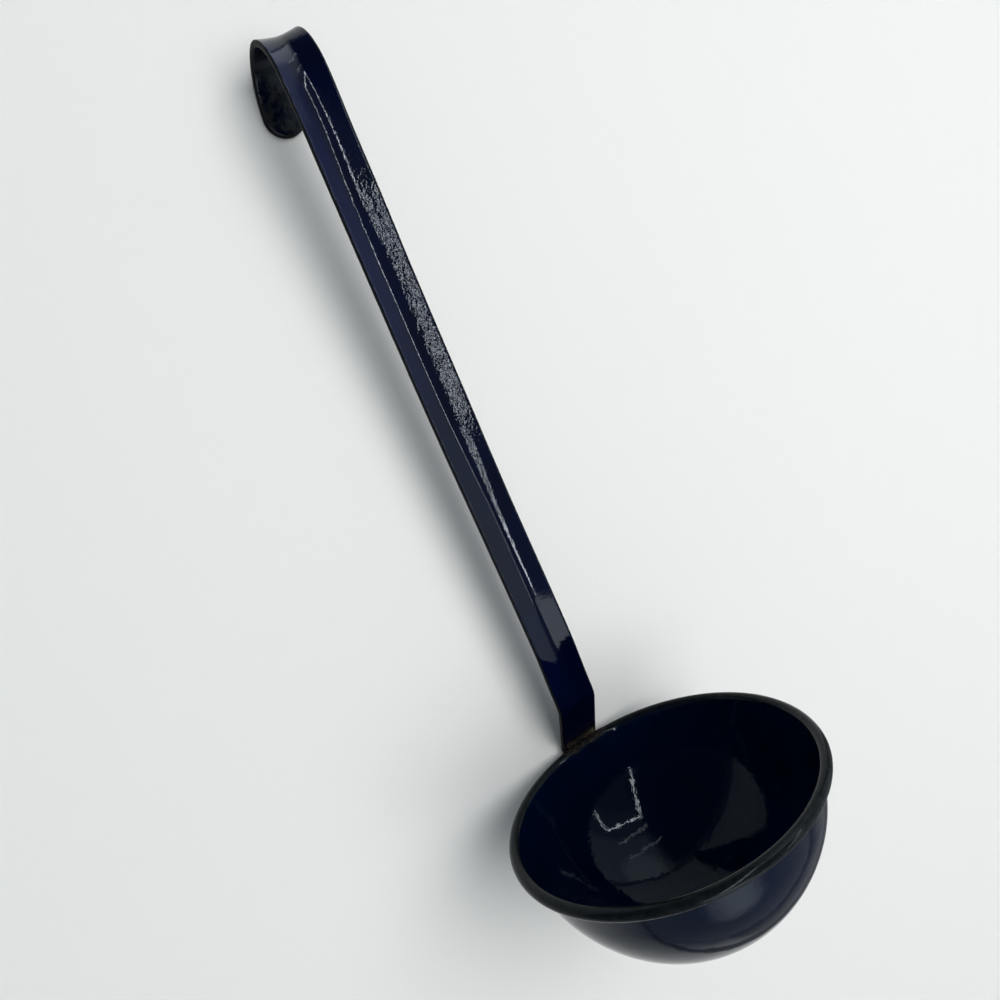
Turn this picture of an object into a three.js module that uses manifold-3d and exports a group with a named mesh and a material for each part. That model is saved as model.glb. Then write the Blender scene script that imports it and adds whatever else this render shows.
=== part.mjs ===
// Enamelled soup ladle: a deep round steel bowl with a rolled rim, and a strap handle that turns over into a hook.
// Lengths in millimetres. The ladle lies on its back: X runs from the bowl to the hook, Y across it, Z up.
// The origin is on the surface that the ladle lies on, under the middle of its length.

import * as THREE from 'three';
import { mergeVertices } from 'three/addons/utils/BufferGeometryUtils.js';
import Module from 'manifold-3d';

// Overall
const overallLength = 293;
const clearance = 0.3;

// Bowl pressing, enamel included
const rimDiameter = 100;
const rimRoll = 3.6;
const bowlSheet = 1.2;
const bowlDepth = 45;
const wallLean = THREE.MathUtils.degToRad(13.75);

// Handle strap, enamel included
const strapWidth = 14.6;
const strapThickness = 2.2;
const strapEdgeRound = 0.8;
const tongueSeat = 15;
const seatBelowWall = 1.5;
const landLength = 3.2;
const neckAngle = THREE.MathUtils.degToRad(36.8);
const neckLength = 23.9;
const neckBendRadius = 8;
const troughDepth = 1.4;
const troughFadeIn = 30;
const hookRadius = 13.5;
const hookSaddle = 0.4;
const hookBlend = 18;
const hookStraight = 2.4;

// Welds
const rimWeldInset = 1;
const rimWeldLeg = 2.2;
const spotDiameter = 5;
const spotDepth = 1;
const spotInset = 4;

// Facets
const bowlSides = 60;
const bowlSteps = 14;
const rollSteps = 13;
const strapAcross = 6;
const tipSteps = 6;
const tipFirstAngle = THREE.MathUtils.degToRad(12);

// Bowl shape: part of a ball whose centre sits just outside the mouth, then a straight wall that touches both the
// ball and the rim roll. Distances along the bowl's axis count from the middle of the rim roll, towards the hook.
// Distances out count from the axis, towards the surface that the ladle lies on.
const rollRadius = rimRoll / 2;
const rollOut = rimDiameter / 2 - rollRadius;
const rollHollow = rollRadius - bowlSheet;
const mouthReach = rollOut * Math.cos(wallLean) - bowlDepth * Math.sin(wallLean) - rollHollow;
const ballRadius = mouthReach / (1 - Math.sin(wallLean));
const ballAlong = ballRadius - bowlDepth;

// Handle layout
const halfWidth = strapWidth / 2;
const seatRadius = ballRadius + clearance;
const wrapRadius = rollRadius + clearance;
const landOut = rollOut + wrapRadius;
const restOut = landOut + strapThickness;
const hookAlong = overallLength - bowlDepth - hookRadius - hookSaddle;
const hookOut = restOut - hookRadius;
const faceHalf = halfWidth - strapEdgeRound;
const tongueHug = seatRadius - Math.sqrt(seatRadius ** 2 - faceHalf ** 2);
const seatTopTurn = wallLean + seatBelowWall / seatRadius;
const seatEndTurn = seatTopTurn + tongueSeat / seatRadius;
const wrapEnd = new THREE.Vector2(wrapRadius * Math.sin(neckAngle), rollOut + wrapRadius * Math.cos(neckAngle));
const bendCorner = new THREE.Vector2(
  wrapEnd.x + neckLength * Math.cos(neckAngle),
  wrapEnd.y - neckLength * Math.sin(neckAngle),
);

// The straight run is the line from the neck's corner that just touches the hook's bend.
const toHook = new THREE.Vector2(hookAlong, hookOut).sub(bendCorner);
const runAngle = Math.asin(hookRadius / toHook.length()) - Math.atan2(toHook.y, toHook.x);
const runWay = new THREE.Vector2(Math.cos(runAngle), -Math.sin(runAngle));
const neckWay = new THREE.Vector2(Math.cos(neckAngle), -Math.sin(neckAngle));

function arc(centre, radius, from, to) {
  return new THREE.EllipseCurve(centre.x, centre.y, radius, radius, from, to, to < from);
}

function line(from, to) {
  return new THREE.LineCurve(from, to);
}

// Bowl: up the inside of the ball and wall, over the outside of the roll, back along its inside, and down the outside.
function bowlProfile() {
  const ballCentre = new THREE.Vector2(0, ballAlong);
  const rollCentre = new THREE.Vector2(rollOut, 0);
  const rollStart = Math.PI - wallLean;
  const rollEnd = -wallLean - Math.acos((clearance - rollHollow) / rollRadius);
  const bottom = -Math.PI / 2;
  const stretches = [
    arc(ballCentre, ballRadius - bowlSheet, bottom, -wallLean).getPoints(bowlSteps),
    arc(rollCentre, rollRadius, rollStart, rollEnd).getPoints(rollSteps),
    arc(rollCentre, rollHollow, rollEnd, rollStart).getPoints(rollSteps),
    arc(ballCentre, ballRadius, -wallLean, bottom).getPoints(bowlSteps),
  ];
  const points = stretches.flat();
  points[0].x = 0;
  points[points.length - 1].x = 0;
  return points;
}

function bowlGeometry() {
  const geometry = new THREE.LatheGeometry(bowlProfile().reverse(), bowlSides);
  geometry.rotateZ(-Math.PI / 2);
  return weldedVertices(geometry);
}

// Leaves positions only, with shared corners merged.
function weldedVertices(geometry) {
  geometry.deleteAttribute('normal');
  geometry.deleteAttribute('uv');
  const merged = mergeVertices(geometry, 1e-4);
  const index = merged.getIndex();
  const kept = [];
  for (let i = 0; i < index.count; i += 3) {
    const corners = [index.getX(i), index.getX(i + 1), index.getX(i + 2)];
    if (new Set(corners).size === 3) {
      kept.push(...corners);
    }
  }
  merged.setIndex(kept);
  return merged;
}

// The line that the middle of the strap's front face follows, from the tongue's tip to the hook's tip. Each piece of it says
// how far the strap's edges stand forward of its middle at its start and end.
function strapPieces() {
  const ballCentre = new THREE.Vector2(ballAlong, 0);
  const rollCentre = new THREE.Vector2(0, rollOut);
  const hookCentre = new THREE.Vector2(hookAlong, hookOut);
  const quarter = Math.PI / 2;
  const seatTop = quarter + seatTopTurn;
  const seatEnd = quarter + seatEndTurn;
  const tongueTip = arc(ballCentre, seatRadius, seatEnd + halfWidth / seatRadius, seatEnd);
  const tongue = arc(ballCentre, seatRadius, seatEnd, seatTop);
  const joggleStart = tongue.getPoint(1);
  const landStart = new THREE.Vector2(-landLength, landOut);
  const landEnd = new THREE.Vector2(0, landOut);
  const joggleReach = joggleStart.distanceTo(landStart) / 2;
  const seatWay = new THREE.Vector2(Math.sin(seatTop), -Math.cos(seatTop));
  const joggle = new THREE.CubicBezierCurve(
    joggleStart,
    joggleStart.clone().addScaledVector(seatWay, joggleReach),
    new THREE.Vector2(landStart.x - joggleReach, landOut),
    landStart,
  );
  const bendSetback = neckBendRadius * Math.tan((neckAngle - runAngle) / 2);
  const bendStart = bendCorner.clone().addScaledVector(neckWay, -bendSetback);
  const bendEnd = bendCorner.clone().addScaledVector(runWay, bendSetback);
  const bendCentre = bendStart.clone().add(
    new THREE.Vector2(neckBendRadius * Math.sin(neckAngle), neckBendRadius * Math.cos(neckAngle)),
  );
  const hookStart = hookCentre.clone().add(
    new THREE.Vector2(-hookRadius * Math.sin(runAngle), -hookRadius * Math.cos(runAngle)),
  );
  const troughStart = bendEnd.clone().addScaledVector(runWay, troughFadeIn);
  const troughEnd = hookStart.clone().addScaledVector(runWay, -hookBlend);
  const returnStart = new THREE.Vector2(hookAlong, restOut);
  const returnEnd = new THREE.Vector2(hookAlong - hookStraight, restOut);
  const returnTip = new THREE.Vector2(returnEnd.x - halfWidth, restOut);
  return [
    { curve: tongueTip, steps: tipSteps, forward: [tongueHug, tongueHug], tip: 'first' },
    { curve: tongue, steps: 4, forward: [tongueHug, tongueHug] },
    { curve: joggle, steps: 8, forward: [tongueHug, 0] },
    { curve: line(landStart, landEnd), steps: 1, forward: [0, 0] },
    { curve: arc(rollCentre, wrapRadius, quarter, quarter - neckAngle), steps: 4, forward: [0, 0] },
    { curve: line(wrapEnd, bendStart), steps: 2, forward: [0, 0] },
    { curve: arc(bendCentre, neckBendRadius, -quarter - neckAngle, -quarter - runAngle), steps: 6, forward: [0, 0] },
    { curve: line(bendEnd, troughStart), steps: 6, forward: [0, troughDepth] },
    { curve: line(troughStart, troughEnd), steps: 4, forward: [troughDepth, troughDepth] },
    { curve: line(troughEnd, hookStart), steps: 3, forward: [troughDepth, hookSaddle] },
    { curve: arc(hookCentre, hookRadius, -quarter - runAngle, 0), steps: 12, forward: [hookSaddle, hookSaddle] },
    { curve: arc(hookCentre, hookRadius, 0, quarter), steps: 12, forward: [hookSaddle, 0] },
    { curve: line(returnStart, returnEnd), steps: 1, forward: [0, 0] },
    { curve: line(returnEnd, returnTip), steps: tipSteps, forward: [0, 0], tip: 'last' },
  ];
}

// Shares of a piece's length at which the strap is drawn, without its start, which the piece before it draws. The strap's
// two ends are half round, so there the sections close up towards the tip.
function sharesAlong({ steps, tip }) {
  const shares = [];
  for (let i = 1; i <= steps; i += 1) {
    const angle = THREE.MathUtils.lerp(tipFirstAngle, Math.PI / 2, (i - 1) / steps);
    if (tip === 'first') {
      shares.push(1 - Math.cos(angle));
    } else if (tip === 'last') {
      shares.unshift(Math.cos(angle));
    } else {
      shares.push(i / steps);
    }
  }
  return tip === 'first' ? [...shares, 1] : shares;
}

function strapSections() {
  const sections = [];
  for (const piece of strapPieces()) {
    for (const share of sharesAlong(piece)) {
      const toFull = { first: 1 - share, last: share }[piece.tip] ?? 0;
      sections.push({
        place: piece.curve.getPointAt(share),
        way: piece.curve.getTangentAt(share),
        forward: THREE.MathUtils.lerp(piece.forward[0], piece.forward[1], THREE.MathUtils.smoothstep(share, 0, 1)),
        half: halfWidth * Math.sqrt(1 - toFull ** 2),
      });
    }
  }
  return sections;
}

// One section of the strap as a loop of points: front face, rounded edge, back face, rounded edge.
function sectionLoop(section) {
  const round = Math.min(strapEdgeRound, section.half / 2);
  const corner = round * (1 - Math.SQRT1_2);
  const flat = section.half - round;
  const loop = [];
  const put = (across, depth) => {
    const raise = section.forward * (across / faceHalf) ** 2 - depth;
    const along = section.place.x + raise * section.way.y;
    const out = section.place.y - raise * section.way.x;
    loop.push(new THREE.Vector3(along, across, -out));
  };
  for (let i = 0; i <= strapAcross; i += 1) {
    put(flat * ((2 * i) / strapAcross - 1), 0);
  }
  put(section.half - corner, corner);
  put(section.half, round);
  put(section.half, strapThickness - round);
  put(section.half - corner, strapThickness - corner);
  for (let i = strapAcross; i >= 0; i -= 1) {
    put(flat * ((2 * i) / strapAcross - 1), strapThickness);
  }
  put(corner - section.half, strapThickness - corner);
  put(-section.half, strapThickness - round);
  put(-section.half, round);
  put(corner - section.half, corner);
  return loop;
}

// A solid through a row of loops of equal count, closed at both ends.
function loft(loops) {
  const count = loops[0].length;
  const corners = loops.flat().flatMap((point) => point.toArray());
  const index = [];
  for (let row = 0; row + 1 < loops.length; row += 1) {
    for (let i = 0; i < count; i += 1) {
      const a = row * count + i;
      const b = row * count + ((i + 1) % count);
      index.push(a, b + count, b, a, a + count, b + count);
    }
  }
  const last = (loops.length - 1) * count;
  for (let i = 1; i + 1 < count; i += 1) {
    index.push(0, i, i + 1, last, last + i + 1, last + i);
  }
  const geometry = new THREE.BufferGeometry();
  geometry.setAttribute('position', new THREE.Float32BufferAttribute(corners, 3));
  geometry.setIndex(index);
  return geometry;
}

// Weld spots: discs set square to the bowl's wall, in pockets on the tongue's inner face.
function spotGeometry(turn, radius, from, to) {
  const geometry = new THREE.CylinderGeometry(radius, radius, to - from, 20);
  geometry.translate(0, (from + to) / 2, 0);
  geometry.rotateX(-Math.PI / 2);
  geometry.rotateY(turn);
  geometry.translate(ballAlong, 0, 0);
  return weldedVertices(geometry);
}

const wasm = await Module();
wasm.setup();

function solidOf(geometry) {
  const vertProperties = new Float32Array(geometry.getAttribute('position').array);
  const triVerts = new Uint32Array(geometry.getIndex().array);
  return new wasm.Manifold(new wasm.Mesh({ numProp: 3, vertProperties, triVerts }));
}

function geometryOf(solid) {
  const mesh = solid.getMesh();
  const geometry = new THREE.BufferGeometry();
  geometry.setAttribute('position', new THREE.Float32BufferAttribute(mesh.vertProperties, 3));
  geometry.setIndex(Array.from(mesh.triVerts));
  return geometry;
}

const spotTurns = {
  spot_weld_upper: seatTopTurn + spotInset / seatRadius,
  spot_weld_lower: seatEndTurn,
};

function handleGeometry() {
  let strap = solidOf(loft(strapSections().map(sectionLoop)));
  for (const turn of Object.values(spotTurns)) {
    const pocket = spotGeometry(turn, spotDiameter / 2 + clearance, ballRadius - spotDepth, seatRadius + spotDepth);
    strap = strap.subtract(solidOf(pocket));
  }
  return geometryOf(strap);
}

// Rim weld: fills the corner between the rim roll and the front of the neck, square across the strap.
function rimWeldGeometry() {
  const rollClear = rollRadius + clearance;
  const strapClear = wrapRadius - clearance;
  const rootTurn = neckAngle + Math.acos(strapClear / rollClear);
  const toeReach = strapClear * Math.tan(rootTurn - neckAngle) + rimWeldLeg;
  const toeTurn = neckAngle + Math.atan2(toeReach, strapClear);
  const toeRadius = Math.hypot(toeReach, strapClear);
  const shape = new THREE.Shape();
  shape.absarc(0, 0, rollClear, rootTurn, toeTurn, false);
  shape.lineTo(toeRadius * Math.cos(toeTurn), toeRadius * Math.sin(toeTurn));
  const rimWeldLength = strapWidth - 2 * rimWeldInset;
  const geometry = new THREE.ExtrudeGeometry(shape, { depth: rimWeldLength, bevelEnabled: false, curveSegments: 4 });
  geometry.translate(0, 0, -rimWeldLength / 2);
  geometry.rotateX(Math.PI / 2);
  geometry.rotateY(Math.PI / 2);
  geometry.translate(0, 0, -rollOut);
  return weldedVertices(geometry);
}

const enamelBlue = { color: 0x0c1240, roughness: 0.16, metalness: 0 };
const weldBrown = { color: 0x4a3a2c, roughness: 0.85, metalness: 0.2 };

const ladle = new THREE.Group();
ladle.position.set((2 * bowlDepth - overallLength) / 2, 0, restOut);

function piece(name, geometry, look) {
  const mesh = new THREE.Mesh(geometry, new THREE.MeshStandardMaterial(look));
  mesh.name = name;
  mesh.geometry.computeVertexNormals();
  ladle.add(mesh);
}

piece('bowl', bowlGeometry(), enamelBlue);
piece('handle', handleGeometry(), enamelBlue);
piece('rim_weld', rimWeldGeometry(), weldBrown);
for (const [name, turn] of Object.entries(spotTurns)) {
  piece(name, spotGeometry(turn, spotDiameter / 2, seatRadius, seatRadius + spotDepth - clearance), weldBrown);
}

const part = new THREE.Group();
part.add(ladle);

export default part;
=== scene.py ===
# Looks of an enamelled soup ladle: a deep round bowl with a dark rolled rim, and a strap handle with a hook.
# Metres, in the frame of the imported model. The ladle lies on its back: X from bowl to hook, Y across, Z up.

import math

import bmesh
import bpy
from mathutils import Matrix, Vector


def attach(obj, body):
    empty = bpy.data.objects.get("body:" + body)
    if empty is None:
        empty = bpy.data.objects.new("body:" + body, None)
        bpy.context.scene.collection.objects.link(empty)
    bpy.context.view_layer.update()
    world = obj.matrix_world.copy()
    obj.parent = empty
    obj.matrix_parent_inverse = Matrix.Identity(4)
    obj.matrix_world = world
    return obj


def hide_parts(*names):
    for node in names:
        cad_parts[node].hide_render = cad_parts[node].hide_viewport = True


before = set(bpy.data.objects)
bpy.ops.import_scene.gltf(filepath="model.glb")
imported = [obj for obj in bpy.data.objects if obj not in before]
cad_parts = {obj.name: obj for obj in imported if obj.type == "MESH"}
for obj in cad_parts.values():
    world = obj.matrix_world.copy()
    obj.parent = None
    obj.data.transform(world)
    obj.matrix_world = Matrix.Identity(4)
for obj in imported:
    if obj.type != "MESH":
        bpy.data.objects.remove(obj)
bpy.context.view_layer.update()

MM = 0.001
QUARTER = math.pi / 2

# Bowl
RIM_RADIUS = 50 * MM
ROLL_RADIUS = 1.8 * MM
BOWL_SHEET = 1.2 * MM
BOWL_DEPTH = 45 * MM
BALL_RADIUS = 46.6 * MM
RIM_PLANE = -101.5 * MM
AXIS_HEIGHT = 52.5 * MM
ROLL_GAP = 0.3 * MM
BOWL_SIDES = 180
BALL_STEPS = 60
WALL_STEPS = 8
ROLL_STEPS = 36

# The right side of the bowl's outside swells a little, from some way below the rim
BULGE = 1.0 * MM
BULGE_FROM = (3 * MM, 20 * MM)

# Strap
STRAP_HALF = 7.3 * MM
STRAP_THICKNESS = 2.2 * MM
STRAP_EDGE = 0.8 * MM
TONGUE_SEAT = 15 * MM
TONGUE_DROP = 11 * MM
LAND_LENGTH = 3.2 * MM
NECK_ANGLE = math.radians(36.8)
NECK_LENGTH = 23.9 * MM
NECK_BEND = 8 * MM
HOOK_RADIUS = 13.5 * MM
HOOK_LEAD = 20.5 * MM
HOOK_SKEW = 0.07
HOOK_ALONG = 234.5 * MM
HOOK_SADDLE = 0.4 * MM
HOOK_STRAIGHT = 2.1 * MM
HOOK_SWAY = -0.8 * MM
TIP_SWAY = 3.2 * MM
RUN_BOW = 1.7 * MM
RUN_LEAN = 0.2 * MM
SADDLE_FROM = 0.9

# Steps along each stretch of the strap's line, and points across it
TIP_STEPS = 22
SEAT_STEPS = 14
JOGGLE_STEPS = 20
LAND_STEPS = 3
WRAP_STEPS = 12
NECK_STEPS = 14
BEND_STEPS = 14
RUN_STEPS = 150
HOOK_LEAD_STEPS = 50
HOOK_RETURN_STEPS = 36
STRAP_ACROSS = 45

# Trough of the strap. The left side keeps one slope and the right side grows flatter towards the hook.
SLOPE_LEFT = 0.30
SLOPE_RIGHT_AT_RIM = 0.4125
SLOPE_RIGHT_FALL = 1.042
TROUGH_FADE_IN = 24 * MM
TROUGH_FADE_OUT = (6 * MM, 30 * MM)
SHOULDER_WIDTH = 0.35 * MM

# Stations along the trough: distance from the rim, valley's place across and its width, in millimetres,
# then how much steeper the right side is there, how far it lies down again before its edge, and how far
# across, in millimetres, that starts
TROUGH_STATIONS = (
    (40, -0.1, 1.8, 0.008, 0.14, 2.3),
    (52, -0.1, 1.5, 0.008, 0.15, 2.3),
    (62, -0.1, 0.9, 0.006, 0.165, 2.3),
    (72, -0.1, 0.75, 0.004, 0.175, 2.3),
    (93.5, -0.13, 0.68, 0.003, 0.18, 2.55),
    (108, 0.26, 1.04, 0.003, 0.15, 3.1),
    (131.5, 0.61, 1.76, 0.0, 0.0, 3.6),
    (175.5, 0.45, 2.18, 0.004, 0.0, 3.8),
    (184, 0.5, 1.75, 0.026, 0.0, 3.8),
    (196, 0.5, 1.43, 0.048, 0.0, 3.8),
    (217.3, -0.42, 1.29, 0.06, 0.0, 3.8),
    (232, -0.5, 1.1, 0.06, 0.0, 3.8),
)

# Weld between strap and rim
WELD_ALONG = 2.7 * MM
WELD_OUT = 48.3 * MM
WELD_HALF = 6.0 * MM
WELD_RADIUS = 0.75 * MM
WELD_STEPS = 60
WELD_SIDES = 18
WELD_SEED = 7
LUMP_SIZE = 0.75 * MM
LUMP_SCALE = 700.0
LUMP_DETAIL = 3.0
CRUMB_SIZE = 0.38 * MM
CRUMBS_PER_SQUARE_METRE = 500000.0
CRUMB_ROUNDS = 2
CRUMB_LEAST = (0.35, 0.35, 0.35)
CRUMB_MOST = (1.25, 1.0, 0.9)

# Points closer than this become one
SHEET_WELD = 0.002 * MM
TUBE_WELD = 0.001 * MM

# Sizes that follow
ROLL_OUT = RIM_RADIUS - ROLL_RADIUS
ROLL_HOLLOW = ROLL_RADIUS - BOWL_SHEET
BALL_ALONG = BALL_RADIUS - BOWL_DEPTH
BALL_TO_ROLL = math.hypot(BALL_ALONG, ROLL_OUT)
WALL_LEAN = math.atan2(BALL_ALONG, ROLL_OUT) + math.acos((BALL_RADIUS + ROLL_HOLLOW) / BALL_TO_ROLL)
WALL_TURN = QUARTER + WALL_LEAN
WALL_LENGTH = math.sqrt(BALL_TO_ROLL ** 2 - (BALL_RADIUS + ROLL_HOLLOW) ** 2)
SEAT_RADIUS = BALL_RADIUS + ROLL_GAP
WRAP_RADIUS = ROLL_RADIUS + ROLL_GAP
LAND_OUT = ROLL_OUT + WRAP_RADIUS
REST_OUT = LAND_OUT + STRAP_THICKNESS
HOOK_OUT = REST_OUT - HOOK_RADIUS
HOOK_FAR = HOOK_ALONG + HOOK_RADIUS
HOOK_STRETCH = HOOK_LEAD / HOOK_RADIUS
FACE_HALF = STRAP_HALF - STRAP_EDGE
TONGUE_HUG = SEAT_RADIUS - math.sqrt(SEAT_RADIUS ** 2 - FACE_HALF ** 2)
WELD_PLACE = (RIM_PLANE + WELD_ALONG, AXIS_HEIGHT - WELD_OUT)


# Node trees

class Wire:
    """A socket in a node tree. Sums on it add Math nodes, and make adds any other node."""

    def __init__(self, tree, socket):
        self.tree = tree
        self.socket = socket

    @staticmethod
    def make(tree, kind, settings=None, sockets=None, out=0):
        node = tree.nodes.new(kind)
        for name, value in (settings or {}).items():
            setattr(node, name, value)
        for key, value in (sockets or {}).items():
            if isinstance(value, Wire):
                tree.links.new(value.socket, node.inputs[key])
            else:
                node.inputs[key].default_value = value
        return Wire(tree, node.outputs[out]) if len(node.outputs) else None

    def math(self, operation, *others):
        sockets = dict(enumerate((self, *others)))
        return Wire.make(self.tree, "ShaderNodeMath", {"operation": operation}, sockets)

    def __add__(self, other):
        return self.math("ADD", other)

    def __radd__(self, other):
        return self.math("ADD", other)

    def __sub__(self, other):
        return self.math("SUBTRACT", other)

    def __rsub__(self, other):
        return Wire.make(self.tree, "ShaderNodeMath", {"operation": "SUBTRACT"}, {0: other, 1: self})

    def __mul__(self, other):
        return self.math("MULTIPLY", other)

    def __rmul__(self, other):
        return self.math("MULTIPLY", other)

    def __truediv__(self, other):
        return self.math("DIVIDE", other)

    def __pow__(self, other):
        return self.math("POWER", other)

    def at_least(self, least):
        return self.math("MAXIMUM", least)

    def root(self):
        return self.math("SQRT")

    def log_cosh(self):
        """A rounded bend: close to the wire's size away from 0, and smooth across it."""
        return self.math("COSH").math("LOGARITHM", math.e)

    def clamped(self):
        return Wire.make(self.tree, "ShaderNodeClamp", {}, {0: self})

    def ramp(self, low, high):
        """0 below low, 1 above high, smooth between them."""
        settings = {"interpolation_type": "SMOOTHSTEP"}
        return Wire.make(self.tree, "ShaderNodeMapRange", settings, {0: self, 1: low, 2: high})

    def parts(self):
        node = self.tree.nodes.new("ShaderNodeSeparateXYZ")
        self.tree.links.new(self.socket, node.inputs[0])
        return [Wire(self.tree, socket) for socket in node.outputs]

    def joined(self, y, z):
        return Wire.make(self.tree, "ShaderNodeCombineXYZ", {}, {0: self, 1: y, 2: z})

    def scaled(self, amount):
        settings = {"operation": "SCALE"}
        return Wire.make(self.tree, "ShaderNodeVectorMath", settings, {0: self, "Scale": amount})

    def plus(self, other):
        return Wire.make(self.tree, "ShaderNodeVectorMath", {"operation": "ADD"}, {0: self, 1: other})


def colour_mix(share, first, second):
    """The first colour where share is 0, the second where it is 1."""
    settings = {"data_type": "RGBA"}
    return Wire.make(share.tree, "ShaderNodeMix", settings, {0: share, 6: first, 7: second}, 2)


def noise_at(place, scale, detail, roughness):
    sockets = {"Vector": place, "Scale": scale, "Detail": detail, "Roughness": roughness}
    return Wire.make(place.tree, "ShaderNodeTexNoise", {}, sockets, "Fac")


NOISE_MIDDLE = 0.5


def swing(noise):
    """A noise's departure from its middle."""
    return noise - NOISE_MIDDLE


def point_value(tree, label):
    """A number that the mesh carries at each point, for a finish."""
    return Wire.make(tree, "ShaderNodeAttribute", {"attribute_name": label}, {}, "Fac")


# Shapes from node trees

def new_shape_tree(name, inputs):
    """A geometry tree with a mesh in, a mesh out and named sizes, with a wire and an identifier for each."""
    tree = bpy.data.node_groups.new(name, "GeometryNodeTree")
    tree.interface.new_socket("Geometry", in_out="INPUT", socket_type="NodeSocketGeometry")
    tree.interface.new_socket("Geometry", in_out="OUTPUT", socket_type="NodeSocketGeometry")
    identifiers = {}
    for label, (kind, _) in inputs.items():
        socket = tree.interface.new_socket(label, in_out="INPUT", socket_type=kind)
        identifiers[label] = socket.identifier
    node = tree.nodes.new("NodeGroupInput")
    wires = {socket.name: Wire(tree, socket) for socket in node.outputs if socket.name}
    return tree, wires, identifiers


def end_shape_tree(tree, geometry, material):
    whole = Wire.make(tree, "GeometryNodeRealizeInstances", {}, {0: geometry})
    coated = Wire.make(tree, "GeometryNodeSetMaterial", {}, {"Geometry": whole, "Material": material})
    end = tree.nodes.new("NodeGroupOutput")
    tree.links.new(coated.socket, end.inputs[0])


def piece_from_tree(name, base, tree, identifiers, inputs):
    """Runs a tree on a base mesh and keeps the result as a plain mesh with its faces outwards."""
    source = bpy.data.objects.new(name + "_base", base)
    bpy.context.scene.collection.objects.link(source)
    modifier = source.modifiers.new("shape", "NODES")
    modifier.node_group = tree
    for label, (_, value) in inputs.items():
        modifier[identifiers[label]] = value
    source.update_tag()
    shaped = source.evaluated_get(bpy.context.evaluated_depsgraph_get())
    mesh = bpy.data.meshes.new_from_object(shaped)
    source.modifiers.remove(modifier)
    bpy.data.objects.remove(source)
    mesh.name = name
    faces = bmesh.new()
    faces.from_mesh(mesh)
    bmesh.ops.recalc_face_normals(faces, faces=faces.faces)
    faces.to_mesh(mesh)
    faces.free()
    mesh.polygons.foreach_set("use_smooth", [True] * len(mesh.polygons))
    piece = bpy.data.objects.new(name, mesh)
    bpy.context.scene.collection.objects.link(piece)
    return piece


def line_mesh(name, points, numbers=None, ways=None):
    """A row of joined points, with named numbers and directions at each point."""
    mesh = bpy.data.meshes.new(name)
    mesh.from_pydata(points, [(i, i + 1) for i in range(len(points) - 1)], [])
    for label, values in (numbers or {}).items():
        mesh.attributes.new(label, "FLOAT", "POINT").data.foreach_set("value", values)
    for label, values in (ways or {}).items():
        flat = [part for way in values for part in way]
        mesh.attributes.new(label, "FLOAT_VECTOR", "POINT").data.foreach_set("vector", flat)
    return mesh


def sampled(source, index, value, kind):
    """A value of the source's point with that index."""
    settings = {"data_type": kind, "domain": "POINT"}
    sockets = {"Geometry": source, "Value": value, "Index": index}
    return Wire.make(source.tree, "GeometryNodeSampleIndex", settings, sockets)


def sampled_place(source, index):
    place = Wire.make(source.tree, "GeometryNodeInputPosition")
    return sampled(source, index, place, "FLOAT_VECTOR")


def sampled_label(source, index, label, kind="FLOAT"):
    settings = {"data_type": kind}
    value = Wire.make(source.tree, "GeometryNodeInputNamedAttribute", settings, {"Name": label})
    return sampled(source, index, value, kind)


def mark_points(geometry, label, value):
    settings = {"data_type": "FLOAT", "domain": "POINT"}
    sockets = {"Geometry": geometry, "Name": label, "Value": value}
    return Wire.make(geometry.tree, "GeometryNodeStoreNamedAttribute", settings, sockets)


def sheet_of_points(tree, rows, columns):
    """A grid of points, with the row and column that each point is in."""
    rounding_guard = 0.0005
    grid = Wire.make(tree, "GeometryNodeMeshGrid", {}, {"Vertices X": rows, "Vertices Y": columns})
    index = Wire.make(tree, "GeometryNodeInputIndex")
    row = (index / columns + rounding_guard).math("FLOOR")
    column = index - row * columns
    return grid, row, column


def merged(geometry, distance):
    sockets = {"Geometry": geometry, "Distance": distance}
    return Wire.make(geometry.tree, "GeometryNodeMergeByDistance", {}, sockets)


def closed_sheet(sheet, place):
    """Moves a sheet's points to their places and joins those that meet."""
    moved = Wire.make(sheet.tree, "GeometryNodeSetPosition", {}, {"Geometry": sheet, "Position": place})
    return merged(moved, SHEET_WELD)


# Lines in the plane of symmetry: along the bowl's axis from the rim, and out from the axis

def round_point(centre, radius, turn):
    return Vector((centre[0] + radius * math.cos(turn), centre[1] + radius * math.sin(turn)))


def arc_points(centre, radius, start, end, count):
    return [round_point(centre, radius, start + (end - start) * i / count) for i in range(count + 1)]


def line_points(start, end, count):
    return [Vector(start).lerp(Vector(end), i / count) for i in range(count + 1)]


def bezier_points(start, start_pull, end_pull, end, count):
    points = []
    for i in range(count + 1):
        t = i / count
        s = 1 - t
        points.append(start * s ** 3 + start_pull * 3 * s * s * t + end_pull * 3 * s * t * t + end * t ** 3)
    return points


def eased(share):
    return share * share * (3 - 2 * share)


def share_between(value, low, high):
    return min(1.0, max(0.0, (value - low) / (high - low)))


def ease_between(value, low, high):
    return eased(share_between(value, low, high))


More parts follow.
